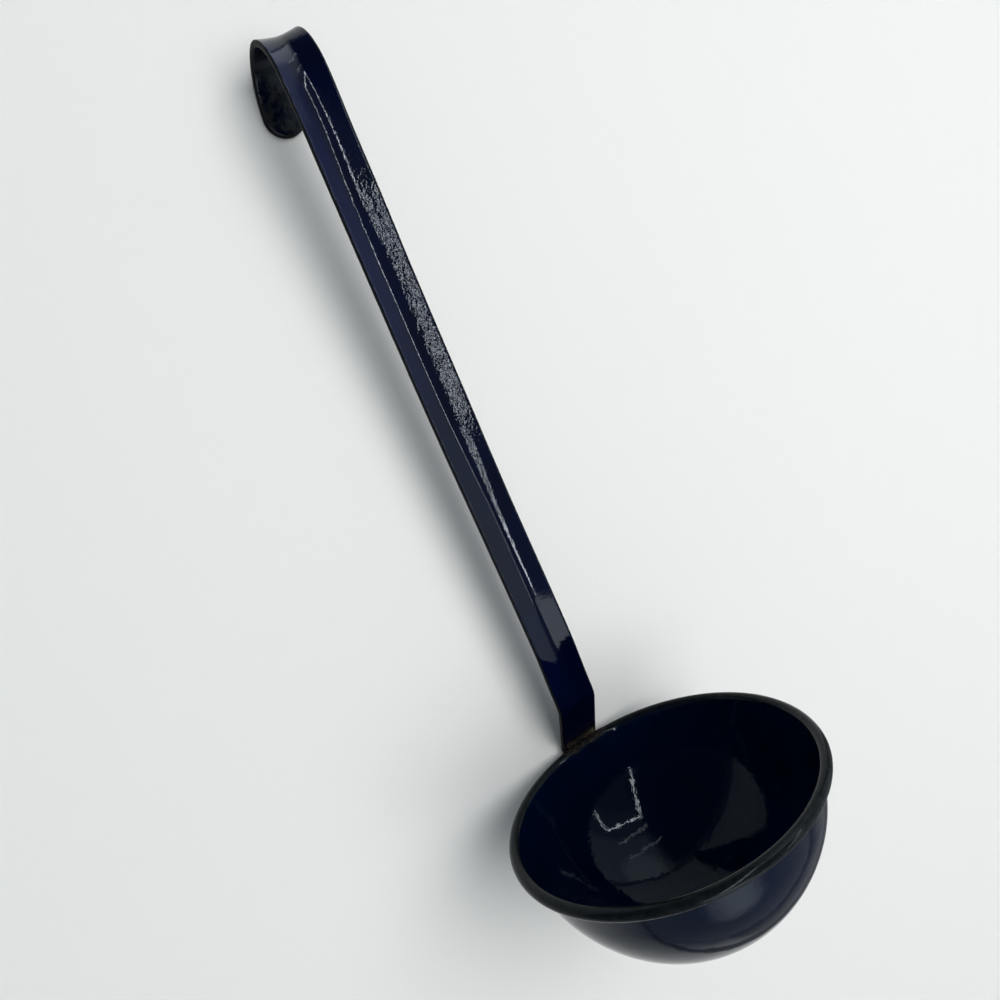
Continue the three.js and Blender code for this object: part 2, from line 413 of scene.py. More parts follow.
def station_values(stations, along):
    """The columns of a table of stations at a distance along it, on smooth curves through the stations."""
    if along <= stations[0][0]:
        return stations[0][1:]
    if along >= stations[-1][0]:
        return stations[-1][1:]
    last = len(stations) - 1
    i = max(k for k in range(last) if stations[k][0] <= along)
    span = stations[i + 1][0] - stations[i][0]
    t = (along - stations[i][0]) / span
    values = []
    for column in range(1, len(stations[0])):
        rates = []
        for k in (i, i + 1):
            before = stations[max(k - 1, 0)]
            after = stations[min(k + 1, last)]
            rates.append((after[column] - before[column]) / (after[0] - before[0]) * span)
        start = stations[i][column]
        end = stations[i + 1][column]
        curve = start * (1 - eased(t)) + end * eased(t)
        curve += rates[0] * t * (1 - t) ** 2 - rates[1] * t * t * (1 - t)
        values.append(curve)
    return values


# Places in that plane that follow from the sizes
BALL_CENTRE = (BALL_ALONG, 0.0)
ROLL_CENTRE = (0.0, ROLL_OUT)
SEAT_TOP = QUARTER + math.asin((TONGUE_DROP + BALL_ALONG) / SEAT_RADIUS)
SEAT_END = SEAT_TOP + TONGUE_SEAT / SEAT_RADIUS
SEAT_WAY = Vector((math.sin(SEAT_TOP), -math.cos(SEAT_TOP)))
JOGGLE_START = round_point(BALL_CENTRE, SEAT_RADIUS, SEAT_TOP)
LAND_START = Vector((-LAND_LENGTH, LAND_OUT))
JOGGLE_PULL = (JOGGLE_START - LAND_START).length / 2
WRAP_END = Vector((WRAP_RADIUS * math.sin(NECK_ANGLE), ROLL_OUT + WRAP_RADIUS * math.cos(NECK_ANGLE)))
NECK_WAY = Vector((math.cos(NECK_ANGLE), -math.sin(NECK_ANGLE)))
NECK_CORNER = WRAP_END + NECK_WAY * NECK_LENGTH
HOOK_CENTRE = Vector((HOOK_ALONG, HOOK_OUT))
LEAD_CENTRE = Vector((HOOK_FAR - HOOK_LEAD, HOOK_OUT))
TO_LEAD = Vector(((LEAD_CENTRE.x - NECK_CORNER.x) / HOOK_STRETCH, LEAD_CENTRE.y - NECK_CORNER.y))
LEAD_ANGLE = math.asin(HOOK_RADIUS / TO_LEAD.length) - math.atan2(TO_LEAD.y, TO_LEAD.x)
LEAD_WAY = Vector((math.sin(LEAD_ANGLE) * HOOK_STRETCH, math.cos(LEAD_ANGLE)))
HOOK_START = LEAD_CENTRE - LEAD_WAY * HOOK_RADIUS
RUN_WAY = (HOOK_START - NECK_CORNER).normalized()
RUN_ANGLE = -math.atan2(RUN_WAY.y, RUN_WAY.x)
BEND_SETBACK = NECK_BEND * math.tan((NECK_ANGLE - RUN_ANGLE) / 2)
BEND_START = NECK_CORNER - NECK_WAY * BEND_SETBACK
BEND_END = NECK_CORNER + RUN_WAY * BEND_SETBACK
BEND_CENTRE = BEND_START + Vector((math.sin(NECK_ANGLE), math.cos(NECK_ANGLE))) * NECK_BEND
RUN_LENGTH = (HOOK_START - BEND_END).length
RETURN_END = Vector((HOOK_ALONG - HOOK_STRAIGHT, REST_OUT))
TIP_END = RETURN_END - Vector((STRAP_HALF, 0.0))


# Bowl

def bowl_outline():
    """The bowl's section from the middle of its inside, over the rolled rim, to the middle of its outside."""
    inner = BALL_RADIUS - BOWL_SHEET
    roll_start = WALL_TURN - math.pi
    roll_end = WALL_TURN + math.acos((ROLL_GAP - ROLL_HOLLOW) / ROLL_RADIUS)
    wall = Vector((math.cos(WALL_LEAN), math.sin(WALL_LEAN))) * WALL_LENGTH
    inner_foot = round_point(BALL_CENTRE, inner, WALL_TURN)
    outer_foot = round_point(BALL_CENTRE, BALL_RADIUS, WALL_TURN)
    points = arc_points(BALL_CENTRE, inner, math.pi, WALL_TURN, BALL_STEPS)[:-1]
    points += line_points(inner_foot, inner_foot + wall, WALL_STEPS)[:-1]
    points += arc_points(ROLL_CENTRE, ROLL_RADIUS, roll_start, roll_end, ROLL_STEPS)
    points += arc_points(ROLL_CENTRE, ROLL_HOLLOW, roll_end, roll_start, ROLL_STEPS)[:-1]
    points += line_points(outer_foot + wall, outer_foot, WALL_STEPS)[:-1]
    points += arc_points(BALL_CENTRE, BALL_RADIUS, WALL_TURN, math.pi, BALL_STEPS)
    points[0].y = 0.0
    points[-1].y = 0.0
    outside_count = BALL_STEPS + WALL_STEPS + 1
    outside = [0.0] * (len(points) - outside_count) + [1.0] * outside_count
    return line_mesh("bowl_outline", [(point.x, 0.0, point.y) for point in points], {"outside": outside})


def build_bowl(material):
    outline = bowl_outline()
    inputs = {
        "Outline points": ("NodeSocketInt", len(outline.vertices)),
        "Sides": ("NodeSocketInt", BOWL_SIDES),
        "Rim plane": ("NodeSocketFloat", RIM_PLANE),
        "Axis height": ("NodeSocketFloat", AXIS_HEIGHT),
        "Bulge": ("NodeSocketFloat", BULGE),
        "Finish": ("NodeSocketMaterial", material),
    }
    tree, wires, identifiers = new_shape_tree("turned_bowl", inputs)
    grid, row, column = sheet_of_points(tree, wires["Outline points"], wires["Sides"] + 1)
    along, _, out = sampled_place(wires["Geometry"], row).parts()
    turn = column / wires["Sides"] * math.tau
    outside = sampled_label(wires["Geometry"], row, "outside")
    right_side = (0 - turn.math("SINE")).at_least(0.0)
    swollen = outside * right_side * right_side * (0 - along).ramp(*BULGE_FROM) * (out / BALL_RADIUS)
    place = (along + wires["Rim plane"]).joined(
        out * turn.math("SINE") - swollen * wires["Bulge"],
        wires["Axis height"] - out * turn.math("COSINE"),
    )
    turned = closed_sheet(mark_points(grid, "outside", outside), place)
    end_shape_tree(tree, turned, wires["Finish"])
    return piece_from_tree("bowl_shell", outline, tree, identifiers, inputs)


# Strap

def strap_points():
    """The middle of the strap's front face from tongue to hook, and how near each point is to an end."""
    tip = [STRAP_HALF * (1 - math.cos(QUARTER * i / TIP_STEPS)) for i in range(TIP_STEPS + 1)]
    tip_shares = [1 - near / STRAP_HALF for near in tip]
    tip_turn = STRAP_HALF / SEAT_RADIUS
    tongue_tip = [round_point(BALL_CENTRE, SEAT_RADIUS, SEAT_END + tip_turn * share) for share in tip_shares]
    hook_tip = [RETURN_END.lerp(TIP_END, share) for share in reversed(tip_shares)]
    joggle = bezier_points(
        JOGGLE_START,
        JOGGLE_START + SEAT_WAY * JOGGLE_PULL,
        LAND_START - Vector((JOGGLE_PULL, 0.0)),
        LAND_START,
        JOGGLE_STEPS,
    )
    run = []
    for point in line_points(BEND_END, HOOK_START, RUN_STEPS):
        share = share_between(point.x, BEND_END.x, HOOK_START.x)
        run.append(point + Vector((0.0, RUN_BOW * math.sin(math.pi * share) ** 2)))
    hook_lead = []
    for point in arc_points((0.0, 0.0), HOOK_RADIUS, -QUARTER - LEAD_ANGLE, 0.0, HOOK_LEAD_STEPS):
        hook_lead.append(LEAD_CENTRE + Vector((point.x * HOOK_STRETCH, point.y)))
    stretches = (
        tongue_tip,
        arc_points(BALL_CENTRE, SEAT_RADIUS, SEAT_END, SEAT_TOP, SEAT_STEPS),
        joggle,
        line_points(LAND_START, (0.0, LAND_OUT), LAND_STEPS),
        arc_points(ROLL_CENTRE, WRAP_RADIUS, QUARTER, QUARTER - NECK_ANGLE, WRAP_STEPS),
        line_points(WRAP_END, BEND_START, NECK_STEPS),
        arc_points(BEND_CENTRE, NECK_BEND, -QUARTER - NECK_ANGLE, -QUARTER - RUN_ANGLE, BEND_STEPS),
        run,
        hook_lead,
        arc_points(HOOK_CENTRE, HOOK_RADIUS, 0.0, QUARTER, HOOK_RETURN_STEPS),
        line_points((HOOK_ALONG, REST_OUT), RETURN_END, 1),
    )
    points = []
    for stretch in stretches:
        points += stretch[:-1]
    points += hook_tip
    between_tips = len(points) - 2 * len(tip) + 1
    close = tip[:-1] + [STRAP_HALF] * between_tips + tip[::-1]
    return points, close


def strap_section(point):
    """The numbers that shape the strap's section at a point of its line."""
    past_bend = point.x - BEND_END.x
    on_tongue = point.y > HOOK_OUT and point.x < 0
    on_return = point.y > HOOK_OUT and point.x > HOOK_ALONG - HOOK_RADIUS
    if on_tongue:
        hug = TONGUE_HUG * (1 - ease_between(point.x, -TONGUE_DROP, -LAND_LENGTH))
    elif on_return:
        hug = HOOK_SADDLE * ease_between(point.x, HOOK_ALONG, HOOK_FAR)
    else:
        hug = HOOK_SADDLE * ease_between(past_bend, RUN_LENGTH * SADDLE_FROM, RUN_LENGTH)
    skew = 0.0
    strength = 0.0
    if not on_return:
        skew = HOOK_SKEW * ease_between(point.x, HOOK_ALONG - HOOK_LEAD, HOOK_ALONG)
        fade_start = RUN_LENGTH + TROUGH_FADE_OUT[0]
        fade_end = RUN_LENGTH + TROUGH_FADE_OUT[1]
        fade_out = ease_between(past_bend, fade_start, fade_end)
        strength = ease_between(past_bend, 0.0, TROUGH_FADE_IN) * (1 - fade_out)
    middle, spread, steeper, lying, lies_from = station_values(TROUGH_STATIONS, point.x / MM)
    right = SLOPE_RIGHT_AT_RIM - SLOPE_RIGHT_FALL * point.x + steeper
    return {
        "hug": hug,
        "slope_mean": strength * (SLOPE_LEFT - right) / 2 - skew,
        "slope_side": strength * (SLOPE_LEFT + right) / 2,
        "valley": middle * MM,
        "valley_width": spread * MM,
        "shoulder": strength * max(0.0, lying),
        "shoulder_at": lies_from * MM,
    }


def strap_place(point):
    """A point of the strap's line in the frame, with the hook's small sway to the side."""
    lean = RUN_LEAN * share_between(point.x, BEND_END.x, HOOK_START.x)
    if point.y > HOOK_OUT and point.x >= TIP_END.x:
        lean += HOOK_SWAY + TIP_SWAY * share_between(point.x, HOOK_FAR, TIP_END.x)
    else:
        lean += HOOK_SWAY * ease_between(point.x, HOOK_START.x, HOOK_FAR)
    return (RIM_PLANE + point.x, lean, AXIS_HEIGHT - point.y)


def strap_line():
    """The strap's line with its front direction and the numbers that shape its section."""
    points, close = strap_points()
    last = len(points) - 1
    fronts = []
    for i in range(len(points)):
        step = points[min(i + 1, last)] - points[max(i - 1, 0)]
        step.normalize()
        fronts.append((step.y, 0.0, step.x))
    sections = [strap_section(point) for point in points]
    numbers = {label: [section[label] for section in sections] for label in sections[0]}
    numbers["close"] = close
    return line_mesh("strap_line", [strap_place(point) for point in points], numbers, {"front": fronts})


def build_strap(material):
    line = strap_line()
    inputs = {
        "Line points": ("NodeSocketInt", len(line.vertices)),
        "Points across": ("NodeSocketInt", STRAP_ACROSS),
        "Half width": ("NodeSocketFloat", STRAP_HALF),
        "Thickness": ("NodeSocketFloat", STRAP_THICKNESS),
        "Edge radius": ("NodeSocketFloat", STRAP_EDGE),
        "Finish": ("NodeSocketMaterial", material),
    }
    tree, wires, identifiers = new_shape_tree("rolled_strap", inputs)
    half = wires["Half width"]
    edge = wires["Edge radius"]
    across_count = wires["Points across"]
    grid, row, column = sheet_of_points(tree, wires["Line points"], across_count * 2 + 1)

    def at_row(label, kind="FLOAT"):
        return sampled_label(wires["Geometry"], row, label, kind)

    # Each row runs across the front face and returns across the back, and its last point meets its first
    ring = column - (column / (across_count * 2)).math("FLOOR") * (across_count * 2)
    on_back = ring.math("GREATER_THAN", across_count - 0.5)
    step = ring + on_back * (across_count * 2 - 1 - ring * 2)
    turn = (step / (across_count - 1) * 2 - 1) * QUARTER

    # Round ends and rounded edges
    short = (half - at_row("close")).at_least(0.0)
    reach = (half * half - short * short).at_least(0.0).root()
    across = turn.math("SINE") * reach
    from_edge = (half - (short * short + across * across).root()).at_least(0.0)
    lack = (edge - from_edge).at_least(0.0)
    inset = edge - (edge * edge - lack * lack).at_least(0.0).root()
    depth = inset + on_back * (wires["Thickness"] - inset * 2)

    # Trough with a rounded valley, and a shoulder that lies down along its right side
    valley = at_row("valley")
    width = at_row("valley_width")
    rise = ((across - valley) / width).log_cosh() - (valley / width).log_cosh()
    trough = at_row("slope_mean") * across + at_row("slope_side") * width * rise
    beyond = (0 - across - at_row("shoulder_at")) / SHOULDER_WIDTH
    laid_down = (beyond + beyond.log_cosh() + math.log(2)) * (SHOULDER_WIDTH / 2)
    trough = trough - at_row("shoulder") * laid_down

    cup = at_row("hug") * (across / FACE_HALF) ** 2
    raised = at_row("front", "FLOAT_VECTOR").scaled(trough + cup - depth)
    sideways = (across * 0.0).joined(across, 0.0)
    place = sampled_place(wires["Geometry"], row).plus(raised).plus(sideways)
    marked = mark_points(mark_points(grid, "from_edge", from_edge), "back", on_back)
    end_shape_tree(tree, closed_sheet(marked, place), wires["Finish"])
    return piece_from_tree("handle_strap", line, tree, identifiers, inputs)


# Weld between strap and rim

def random_vectors(tree, low, high, seed):
    sockets = {0: low, 1: high, "Seed": seed}
    return Wire.make(tree, "FunctionNodeRandomValue", {"data_type": "FLOAT_VECTOR"}, sockets)


def lumpy_tube(tree, wires):
    """A tube along the base line, pushed about by a noise."""
    path = Wire.make(tree, "GeometryNodeMeshToCurve", {}, {0: wires["Geometry"]})
    ring_sockets = {"Resolution": wires["Sides"], "Radius": wires["Bead radius"]}
    ring = Wire.make(tree, "GeometryNodeCurvePrimitiveCircle", {"mode": "RADIUS"}, ring_sockets)
    tube_sockets = {"Curve": path, "Profile Curve": ring, "Fill Caps": True}
    tube = merged(Wire.make(tree, "GeometryNodeCurveToMesh", {}, tube_sockets), TUBE_WELD)
    place = Wire.make(tree, "GeometryNodeInputPosition")
    noise_sockets = {"Vector": place, "Scale": LUMP_SCALE, "Detail": LUMP_DETAIL}
    lumps = Wire.make(tree, "ShaderNodeTexNoise", {"noise_dimensions": "3D"}, noise_sockets, "Color")
    push = lumps.plus((-NOISE_MIDDLE, -NOISE_MIDDLE, -NOISE_MIDDLE)).scaled(wires["Lumps"] * 2)
    return Wire.make(tree, "GeometryNodeSetPosition", {}, {"Geometry": tube, "Offset": push})


def crumbs_on(tree, wires, surface):
    """Round crumbs of uneven size and turn, strewn over a surface."""
    seed = wires["Seed"]
    spots = Wire.make(
        tree,
        "GeometryNodeDistributePointsOnFaces",
        {"distribute_method": "RANDOM"},
        {"Mesh": surface, "Density": wires["Crumbs per square metre"], "Seed": seed},
    )
    crumb_sockets = {"Radius": wires["Crumb size"], "Subdivisions": CRUMB_ROUNDS}
    crumb = Wire.make(tree, "GeometryNodeMeshIcoSphere", {}, crumb_sockets)
    sizes = random_vectors(tree, CRUMB_LEAST, CRUMB_MOST, seed)
    turns = random_vectors(tree, (0.0, 0.0, 0.0), (math.tau, math.tau, math.tau), seed + 1)
    sockets = {"Points": spots, "Instance": crumb, "Rotation": turns, "Scale": sizes}
    return Wire.make(tree, "GeometryNodeInstanceOnPoints", {}, sockets)


def build_weld(material):
    along, height = WELD_PLACE
    points = [(along, WELD_HALF * (2 * i / WELD_STEPS - 1), height) for i in range(WELD_STEPS + 1)]
    inputs = {
        "Bead radius": ("NodeSocketFloat", WELD_RADIUS),
        "Sides": ("NodeSocketInt", WELD_SIDES),
        "Lumps": ("NodeSocketFloat", LUMP_SIZE),
        "Crumb size": ("NodeSocketFloat", CRUMB_SIZE),
        "Crumbs per square metre": ("NodeSocketFloat", CRUMBS_PER_SQUARE_METRE),
        "Seed": ("NodeSocketInt", WELD_SEED),
        "Finish": ("NodeSocketMaterial", material),
    }
    tree, wires, identifiers = new_shape_tree("weld_bead", inputs)
    tube = lumpy_tube(tree, wires)
    crumbs = crumbs_on(tree, wires, tube)
    whole = Wire.make(tree, "GeometryNodeJoinGeometry")
    for shape in (tube, crumbs):
        tree.links.new(shape.socket, whole.socket.node.inputs[0])
    end_shape_tree(tree, whole, wires["Finish"])
    return piece_from_tree("weld_bead", line_mesh("weld_line", points), tree, identifiers, inputs)


# Colours of the finishes
NAVY = (0.0005, 0.0026, 0.018, 1)
NAVY_DEEP = (0.0003, 0.0016, 0.011, 1)
# Bluer navy for the strap's left flank: a painted reflection tint
REFLECTION_BLUE_NAVY = (0.0008, 0.003, 0.029, 1)
BOWL_NAVY = (0.0002, 0.0038, 0.018, 1)
BOWL_NAVY_DEEP = (0.0001, 0.003, 0.013, 1)
# Dark, dull coat for the strap's edges: painted shade on their side faces
EDGE_SHADE_BLACK = (0.0016, 0.002, 0.0024, 1)
RIM_CHARCOAL = (0.0028, 0.004, 0.0056, 1)
RIM_GREY = (0.0095, 0.012, 0.013, 1)
GREY_GREEN = (0.0065, 0.0085, 0.0085, 1)
RUST = (0.026, 0.011, 0.008, 1)
OLIVE = (0.034, 0.033, 0.014, 1)
PALE_OLIVE = (0.13, 0.13, 0.07, 1)
SCALE_BLACK = (0.003, 0.0036, 0.003, 1)
PALE_GREY = (0.075, 0.075, 0.07, 1)

# Noises of the finishes: scale, detail and roughness
CLOUD = (55, 3.0, 0.55)
EDGE_SHADE_NOISE = (420, 3.0, 0.5)
SMOKE = (260, 4.0, 0.65)
STRAP_PEEL_FINE = (1050, 2.0, 0.5)
STRAP_PEEL_BROAD = (380, 2.0, 0.5)
BOWL_PEEL_FINE = (800, 2.0, 0.5)
BOWL_PEEL_BROAD = (210, 2.0, 0.5)
RIM_WAVER = (160, 3.0, 0.5)
RIM_RUB = (340, 4.0, 0.6)
STAIN_EDGE = (900, 3.0, 0.6)
STAIN_KIND = (620, 2.0, 0.6)
STAIN_BURN = (1300, 2.0, 0.6)
CRUST = (1700, 3.0, 0.7)
WELD_GRAIN = (2600, 3.0, 0.7)
WELD_BLOTCH = (520, 3.0, 0.7)

# Where a noise turns from one colour into the next
CLOUD_TURNS = (0.35, 0.68)
SMOKE_TURNS = (0.4, 0.62)
RUB_TURNS = (0.3, 0.85)
RUST_TURNS = (0.46, 0.52)
OLIVE_TURNS = (0.56, 0.64)
BURN_TURNS = (0.45, 0.53)
WELD_WARM_TURNS = (0.48, 0.53)
WELD_PALE_TURNS = (0.6, 0.64)

# Where a finish starts and ends
# The strap's dark edge band is painted shade on the side faces, with a ragged border
EDGE_SHADE_SPAN = (0.28 * MM, 0.62 * MM)
EDGE_WANDER = 0.5 * MM
SMOKED_ALONG = (118 * MM, 126 * MM)
SMOKED_BACK = (0.4, 0.6)
# The strap's left flank, towards the hook, is painted bluer: a painted reflection tint
REFLECTION_BLUE_ALONG = (0 * MM, 90 * MM)
REFLECTION_BLUE_ACROSS = (1.5 * MM, 4 * MM)
RIM_COLOUR_OUT = (46.3 * MM, 46.7 * MM)
RIM_COLOUR_ALONG = (RIM_PLANE - 2.4 * MM, RIM_PLANE - 1.9 * MM)
RIM_WANDER = 0.5 * MM
STAIN_HALF = 6.2 * MM
STAIN_WANDER = 4.5 * MM
STRAP_STAIN = (1.2 * MM, 2.4 * MM)
BOWL_STAIN = (2.2 * MM, 4.0 * MM)
WELD_OLIVE_ACROSS = (1.5 * MM, 3.5 * MM)
WELD_PALE_ACROSS = (2.5 * MM, 4.5 * MM)
WELD_WANDER = 4 * MM

# Relief of the finishes. The strap's orange peel is strongest on its right side and towards the hook.
PEEL_MIDDLE = 0.67
STRAP_PEEL_SHARES = (0.55, 0.8)
STRAP_PEEL_LEAST = 0.15
STRAP_PEEL_MORE = 0.8
PEEL_RIGHT = (-1.0 * MM, 2.0 * MM)
PEEL_TOWARD_HOOK = (60 * MM, 118 * MM)
PEEL_TOWARD_HOOK_SHARE = 0.6
PEEL_PAST_NECK = (-30 * MM, 15 * MM)
PEEL_LOSS = 0.55
PEEL_LOSS_ALONG = (88 * MM, 104 * MM)
BOWL_PEEL_FINE_SHARE = 0.35
BOWL_PEEL = 0.4
RUB_HEIGHT = 0.2
STAIN_HEIGHT = 2.2
SMOKE_HEIGHT = 0.5
ENAMEL_BUMP = 0.14 * MM
WELD_BUMP = 0.3 * MM

# Shine and roughness of the finishes
STRAP_SHINE = 0.25
BOWL_SHINE = 0.115
EDGE_SHINE = 0.1
WELD_SHINE = 0.2
STRAP_TINT = (0.85, 0.93, 1.0, 1)
BOWL_TINT = (0.82, 0.95, 1.0, 1)
ENAMEL_ROUGHNESS = 0.03
PEEL_ROUGHNESS = 0.03
OUTSIDE_ROUGHNESS = 0.03
SMOKE_ROUGHNESS = 0.22
STAIN_ROUGHNESS = 0.5
EDGE_ROUGHNESS = 0.55
RIM_ROUGHNESS = 0.03
RUB_ROUGHNESS = 0.12
WELD_ROUGHNESS = 0.6
WELD_GRAIN_ROUGHNESS = 0.3


# Finishes

def new_finish(name):
    material = bpy.data.materials.new(name)
    material.use_nodes = True
    tree = material.node_tree
    tree.nodes.clear()
    place = Wire.make(tree, "ShaderNodeTexCoord", {}, {}, "Object")
    return material, tree, place


def coat(tree, colour, roughness, normal, fixed):
    sockets = {"Base Color": colour, "Roughness": roughness, "Normal": normal}
    sockets.update(fixed)
    return Wire.make(tree, "ShaderNodeBsdfPrincipled", {}, sockets)


def end_finish(tree, surface):
    Wire.make(tree, "ShaderNodeOutputMaterial", {}, {"Surface": surface})


def bump(height, distance):
    sockets = {"Strength": 1.0, "Distance": distance, "Height": height}
    return Wire.make(height.tree, "ShaderNodeBump", {}, sockets)


def joint_stain(place, reach):
    """How close a point is to the weld between strap and rim, broken up, from 0 to 1."""
    x, y, z = place.parts()
    off_x = x - WELD_PLACE[0]
    off_z = z - WELD_PLACE[1]
    past_y = (y.math("ABSOLUTE") - STAIN_HALF).at_least(0.0)
    away = (off_x * off_x + off_z * off_z + past_y * past_y).root()
    ragged = away + swing(noise_at(place, *STAIN_EDGE)) * STAIN_WANDER
    return 1 - ragged.ramp(*reach)


def enamel_colour(place, deep, full):
    return colour_mix(noise_at(place, *CLOUD).ramp(*CLOUD_TURNS), deep, full)


def stained(place, colour, stain):
    """Lays rust, olive and dark scale over a colour where the stain reaches."""
    kind = noise_at(place, *STAIN_KIND)
    mixed = colour_mix(kind.ramp(*RUST_TURNS), SCALE_BLACK, RUST)
    mixed = colour_mix(kind.ramp(*OLIVE_TURNS), mixed, OLIVE)
    mixed = colour_mix(noise_at(place, *STAIN_BURN).ramp(*BURN_TURNS), mixed, SCALE_BLACK)
    return colour_mix(stain, colour, mixed)


def strap_finish():
    material, tree, place = new_finish("strap_enamel")
    x, y, _ = place.parts()
    on_back = point_value(tree, "back")
    # The strap's edges get a dark, dull coat: painted shade on the side faces that turn from the light
    ragged_edge = point_value(tree, "from_edge") + swing(noise_at(place, *EDGE_SHADE_NOISE)) * EDGE_WANDER
    painted_edge_shade = 1 - ragged_edge.ramp(*EDGE_SHADE_SPAN)
    stain = joint_stain(place, STRAP_STAIN)
    in_hook = x.ramp(*SMOKED_ALONG) * on_back.ramp(*SMOKED_BACK)
    smoked = in_hook * noise_at(place, *SMOKE).ramp(*SMOKE_TURNS)
    # The left flank of the front face is painted bluer: a painted reflection tint
    painted_reflection_blue = x.ramp(*REFLECTION_BLUE_ALONG) * y.ramp(*REFLECTION_BLUE_ACROSS) * (1 - on_back)
    colour = enamel_colour(place, NAVY_DEEP, NAVY)
    colour = colour_mix(painted_reflection_blue, colour, REFLECTION_BLUE_NAVY)
    colour = colour_mix(smoked, colour, GREY_GREEN)
    colour = stained(place, colour, stain)
    fine = noise_at(place, *STRAP_PEEL_FINE)
    broad = noise_at(place, *STRAP_PEEL_BROAD)
    peel = fine * STRAP_PEEL_SHARES[0] + broad * STRAP_PEEL_SHARES[1]
    right_side = (0 - y).ramp(*PEEL_RIGHT)
    toward_hook = x.ramp(*PEEL_TOWARD_HOOK) * PEEL_TOWARD_HOOK_SHARE
    stronger = right_side.at_least(toward_hook) * x.ramp(*PEEL_PAST_NECK)
    peel_strength = STRAP_PEEL_LEAST + STRAP_PEEL_MORE * stronger
    peel_strength = peel_strength * (1 - PEEL_LOSS * x.ramp(*PEEL_LOSS_ALONG))
    crusted = stain * STAIN_HEIGHT + in_hook * SMOKE_HEIGHT
    height = (peel - PEEL_MIDDLE) * peel_strength + crusted * swing(noise_at(place, *CRUST))
    normal = bump(height, ENAMEL_BUMP)
    roughness = ENAMEL_ROUGHNESS + PEEL_ROUGHNESS * broad + SMOKE_ROUGHNESS * smoked + STAIN_ROUGHNESS * stain
    shine = {"Specular IOR Level": STRAP_SHINE, "Specular Tint": STRAP_TINT}
    enamel = coat(tree, colour, roughness.clamped(), normal, shine)
    shaded_edge_coat = coat(tree, EDGE_SHADE_BLACK, EDGE_ROUGHNESS, normal, {"Specular IOR Level": EDGE_SHINE})
    end_finish(tree, Wire.make(tree, "ShaderNodeMixShader", {}, {0: painted_edge_shade, 1: enamel, 2: shaded_edge_coat}))
    return material


def bowl_finish():
    material, tree, place = new_finish("bowl_enamel")
    x, y, z = place.parts()
    outside = point_value(tree, "outside")
    off_z = z - AXIS_HEIGHT
    radius = (y * y + off_z * off_z).root()
    ragged_radius = radius + swing(noise_at(place, *RIM_WAVER)) * RIM_WANDER
    rim = ragged_radius.ramp(*RIM_COLOUR_OUT) * x.ramp(*RIM_COLOUR_ALONG)
    stain = joint_stain(place, BOWL_STAIN)
    rubbed = noise_at(place, *RIM_RUB)
    rim_colour = colour_mix(rubbed.ramp(*RUB_TURNS), RIM_CHARCOAL, RIM_GREY)
    colour = enamel_colour(place, BOWL_NAVY_DEEP, BOWL_NAVY)
    colour = colour_mix(rim, colour, rim_colour)
    colour = stained(place, colour, stain)
    fine = noise_at(place, *BOWL_PEEL_FINE)
    broad = noise_at(place, *BOWL_PEEL_BROAD)
    height = (fine * BOWL_PEEL_FINE_SHARE + broad - PEEL_MIDDLE) * BOWL_PEEL
    height = height + stain * STAIN_HEIGHT * swing(noise_at(place, *CRUST))
    height = height + rim * RUB_HEIGHT * swing(rubbed)
    roughness = ENAMEL_ROUGHNESS + PEEL_ROUGHNESS * broad + OUTSIDE_ROUGHNESS * outside
    roughness = roughness + rim * (RIM_ROUGHNESS + RUB_ROUGHNESS * rubbed) + STAIN_ROUGHNESS * stain
    shine = {"Specular IOR Level": BOWL_SHINE, "Specular Tint": BOWL_TINT}
    end_finish(tree, coat(tree, colour, roughness.clamped(), bump(height, ENAMEL_BUMP), shine))
    return material


def weld_finish():
    material, tree, place = new_finish("weld_scale")
    _, y, _ = place.parts()
    grain = noise_at(place, *WELD_GRAIN)
    blotch = noise_at(place, *WELD_BLOTCH)
    to_right = 0 - y + swing(noise_at(place, *STAIN_KIND)) * WELD_WANDER
    warm = colour_mix(to_right.ramp(*WELD_OLIVE_ACROSS), RUST, OLIVE)
    pale = colour_mix(to_right.ramp(*WELD_PALE_ACROSS), PALE_GREY, PALE_OLIVE)
    colour = colour_mix(blotch.ramp(*WELD_WARM_TURNS), SCALE_BLACK, warm)
    colour = colour_mix(blotch.ramp(*WELD_PALE_TURNS), colour, pale)
    roughness = WELD_ROUGHNESS + WELD_GRAIN_ROUGHNESS * grain
    shine = {"Specular IOR Level": WELD_SHINE}
    end_finish(tree, coat(tree, colour, roughness, bump(grain, WELD_BUMP), shine))
    return material


# Camera, at the photograph's viewing angle
CAMERA_PLACE = (35.1 * MM, 84.7 * MM, 253.1 * MM)
CAMERA_RIGHT = Vector((-0.408, -0.828, 0.385))
CAMERA_AHEAD = Vector((-0.163, -0.349, -0.923))
FOCAL_PIXELS = 787.2
PICTURE_PIXELS = 1000
SENSOR = 36.0
CLIP_START = 0.01


def place_camera():
    data = bpy.data.cameras.new("camera")
    data.sensor_width = SENSOR
    data.lens = FOCAL_PIXELS / PICTURE_PIXELS * SENSOR
    data.clip_start = CLIP_START
    camera = bpy.data.objects.new("camera", data)
    bpy.context.scene.collection.objects.link(camera)
    back = -CAMERA_AHEAD.normalized()
    right = (CAMERA_RIGHT - back * CAMERA_RIGHT.dot(back)).normalized()
    up = back.cross(right)
    turned = Matrix((right, up, back)).transposed().to_4x4()
    camera.matrix_world = Matrix.Translation(CAMERA_PLACE) @ turned
    bpy.context.scene.camera = camera
